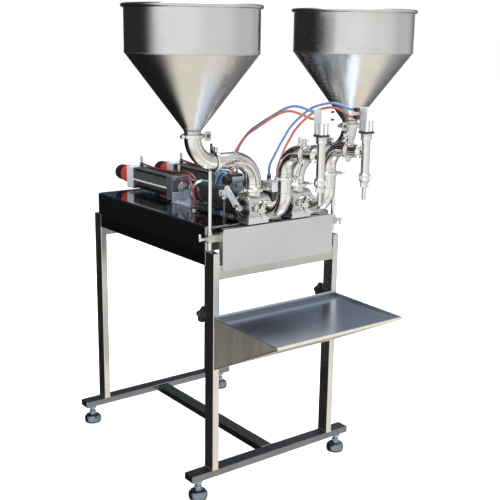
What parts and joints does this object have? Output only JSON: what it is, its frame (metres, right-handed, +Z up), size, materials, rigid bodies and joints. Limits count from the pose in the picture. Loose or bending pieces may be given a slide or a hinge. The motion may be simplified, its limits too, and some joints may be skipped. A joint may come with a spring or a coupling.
{
  "type": "piston liquid filler",
  "caption": "Pneumatic piston filler on a welded stand, with conical hoppers, horizontal metering cylinders, rotary valves, shut-off nozzles and a height-adjustable tray.",
  "frame": {"origin": "on the floor, under the middle of the bounding box", "axes": "+Z up; -Y is the front, where the nozzles and the tray are; +X is to the right seen from the front"},
  "size_m": [1.11, 1.282, 1.654],
  "materials": {
    "stand_steel": "brushed",
    "mirror_steel": "polished",
    "panel_steel": "satin",
    "bracket_steel": "machined",
    "polished_steel": "polished",
    "hopper_steel": "brushed",
    "tray_steel": "brushed",
    "aluminium": "anodised",
    "black_plastic": "moulded",
    "foot_grey": "painted",
    "blue_hose": "smooth",
    "red_hose": "smooth"
  },
  "bodies": {
    "frame": {"stand": "stand_steel", "cross_bar": "stand_steel", "machine_box": "mirror_steel", "front_panel": "panel_steel", "cylinder_carrier": "bracket_steel", "air_manifold": "aluminium", "air_regulator": "aluminium", "post_l": "polished_steel", "hopper_clamp_l": "polished_steel", "feed_pipe_l": "polished_steel", "inlet_clamp_l": "polished_steel", "valve_body_l": "polished_steel", "metering_cylinder_l": "polished_steel", "outlet_pipe_l": "polished_steel", "nozzle_body_l": "polished_steel", "hopper_l": "hopper_steel", "air_cylinder_l": "aluminium", "nozzle_cylinder_l": "aluminium", "hose_blue_l": "blue_hose", "hose_red_l": "red_hose", "front_port_hose_l": "red_hose", "rear_port_hose_l": "red_hose", "post_r": "polished_steel", "hopper_clamp_r": "polished_steel", "feed_pipe_r": "polished_steel", "inlet_clamp_r": "polished_steel", "valve_body_r": "polished_steel", "metering_cylinder_r": "polished_steel", "outlet_pipe_r": "polished_steel", "nozzle_body_r": "polished_steel", "hopper_r": "hopper_steel", "air_cylinder_r": "aluminium", "nozzle_cylinder_r": "aluminium", "hose_blue_r": "blue_hose", "hose_red_r": "red_hose", "front_port_hose_r": "red_hose", "rear_port_hose_r": "red_hose", "supply_hose_a": "blue_hose", "supply_hose_b": "blue_hose"},
    "foot_front_l": {"foot_front_l": "foot_grey"},
    "foot_front_r": {"foot_front_r": "foot_grey"},
    "foot_rear_l": {"foot_rear_l": "foot_grey"},
    "foot_rear_r": {"foot_rear_r": "foot_grey"},
    "post_screw_l": {"post_screw_l": "polished_steel"},
    "post_screw_r": {"post_screw_r": "polished_steel"},
    "valve_rotor_l": {"valve_rotor_l": "bracket_steel"},
    "push_rod_l": {"push_rod_l": "bracket_steel"},
    "piston_l": {"piston_l": "polished_steel"},
    "stroke_knob_l": {"stroke_knob_l": "black_plastic"},
    "nozzle_plunger_l": {"nozzle_plunger_l": "polished_steel"},
    "star_knob_l": {"star_knob_l": "black_plastic"},
    "valve_rotor_r": {"valve_rotor_r": "bracket_steel"},
    "push_rod_r": {"push_rod_r": "bracket_steel"},
    "piston_r": {"piston_r": "polished_steel"},
    "stroke_knob_r": {"stroke_knob_r": "black_plastic"},
    "nozzle_plunger_r": {"nozzle_plunger_r": "polished_steel"},
    "star_knob_r": {"star_knob_r": "black_plastic"},
    "tray": {"tray": "tray_steel"}
  },
  "joints": [
    {"name": "foot_front_l_turn", "type": "hinge", "parent": "frame", "child": "foot_front_l", "pos_m": [-0.32, -0.288, 0.03], "axis": [0, 0, 1], "continuous": true},
    {"name": "foot_front_r_turn", "type": "hinge", "parent": "frame", "child": "foot_front_r", "pos_m": [0.32, -0.288, 0.03], "axis": [0, 0, 1], "continuous": true},
    {"name": "foot_rear_l_turn", "type": "hinge", "parent": "frame", "child": "foot_rear_l", "pos_m": [-0.32, 0.488, 0.03], "axis": [0, 0, 1], "continuous": true},
    {"name": "foot_rear_r_turn", "type": "hinge", "parent": "frame", "child": "foot_rear_r", "pos_m": [0.32, 0.488, 0.03], "axis": [0, 0, 1], "continuous": true},
    {"name": "post_screw_l_turn", "type": "hinge", "parent": "frame", "child": "post_screw_l", "pos_m": [-0.3, -0.28, 0.914], "axis": [1, 0, 0], "continuous": true},
    {"name": "post_screw_r_turn", "type": "hinge", "parent": "frame", "child": "post_screw_r", "pos_m": [0.3, -0.28, 0.914], "axis": [1, 0, 0], "continuous": true},
    {"name": "valve_turn_l", "type": "hinge", "parent": "frame", "child": "valve_rotor_l", "pos_m": [-0.16, -0.285, 1.004], "axis": [1, 0, 0], "range_deg": [-45, 0]},
    {"name": "push_rod_slide_l", "type": "slide", "parent": "frame", "child": "push_rod_l", "axis": [0, 0, 1], "range_m": [-0.061, 0]},
    {"name": "piston_stroke_l", "type": "slide", "parent": "frame", "child": "piston_l", "axis": [0, 1, 0], "range_m": [0, 0.2]},
    {"name": "stroke_knob_l_turn", "type": "hinge", "parent": "frame", "child": "stroke_knob_l", "pos_m": [-0.0935, 0.53, 1.004], "axis": [0, 1, 0], "continuous": true},
    {"name": "nozzle_lift_l", "type": "slide", "parent": "frame", "child": "nozzle_plunger_l", "axis": [0, 0, 1], "range_m": [0, 0.02]},
    {"name": "star_knob_l_turn", "type": "hinge", "parent": "frame", "child": "star_knob_l", "pos_m": [-0.2625, -0.24, 0.642], "axis": [0, 1, 0], "continuous": true},
    {"name": "valve_turn_r", "type": "hinge", "parent": "frame", "child": "valve_rotor_r", "pos_m": [0.027, -0.285, 1.004], "axis": [1, 0, 0], "range_deg": [-45, 0]},
    {"name": "push_rod_slide_r", "type": "slide", "parent": "frame", "child": "push_rod_r", "axis": [0, 0, 1], "range_m": [-0.061, 0]},
    {"name": "piston_stroke_r", "type": "slide", "parent": "frame", "child": "piston_r", "axis": [0, 1, 0], "range_m": [0, 0.2]},
    {"name": "stroke_knob_r_turn", "type": "hinge", "parent": "frame", "child": "stroke_knob_r", "pos_m": [0.0935, 0.53, 1.004], "axis": [0, 1, 0], "continuous": true},
    {"name": "nozzle_lift_r", "type": "slide", "parent": "frame", "child": "nozzle_plunger_r", "axis": [0, 0, 1], "range_m": [0, 0.02]},
    {"name": "star_knob_r_turn", "type": "hinge", "parent": "frame", "child": "star_knob_r", "pos_m": [0.2625, -0.24, 0.642], "axis": [0, 1, 0], "continuous": true},
    {"name": "tray_height", "type": "slide", "parent": "frame", "child": "tray", "axis": [0, 0, 1], "range_m": [0, 0.12]}
  ],
  "couplings": [
    {"joint": "push_rod_slide_l", "follows": "valve_turn_l", "m_per_rad": 0.0772},
    {"joint": "push_rod_slide_r", "follows": "valve_turn_r", "m_per_rad": 0.0772}
  ]
}
